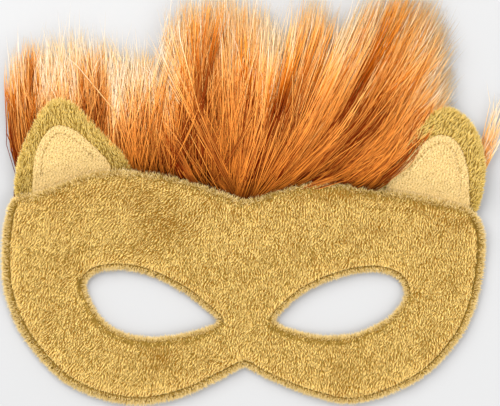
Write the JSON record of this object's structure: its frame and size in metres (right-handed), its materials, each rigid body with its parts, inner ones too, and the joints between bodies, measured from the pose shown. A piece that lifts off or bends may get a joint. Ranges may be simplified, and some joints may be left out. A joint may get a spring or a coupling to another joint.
{
  "type": "lion half mask",
  "caption": "Flat plush lion half mask with almond-shaped eye holes, rounded ears with velour inner patches, and a mane of long fur along the brow.",
  "frame": {"origin": "on the flat back of the mask, at the bridge of the nose between the eye holes", "axes": "+Z out of the face's front, +Y up towards the brow and the mane, +X towards the right ear as seen from the front"},
  "size_m": [0.2125, 0.1729, 0.0135],
  "materials": {
    "golden_plush": "short golden-tan plush pile, brushed, matt",
    "back_plush": "short golden-tan plush pile pressed flat, matt",
    "cream_velour": "fine cream-yellow velour, matt",
    "rust_fur": "long faux fur, rust at the root and pale at the tips"
  },
  "bodies": {
    "root": {"face_back": "back_plush", "face_front": "golden_plush", "ear_left": "golden_plush", "ear_right": "golden_plush", "inner_ear_left": "cream_velour", "inner_ear_right": "cream_velour", "mane": "rust_fur"}
  },
  "joints": []
}
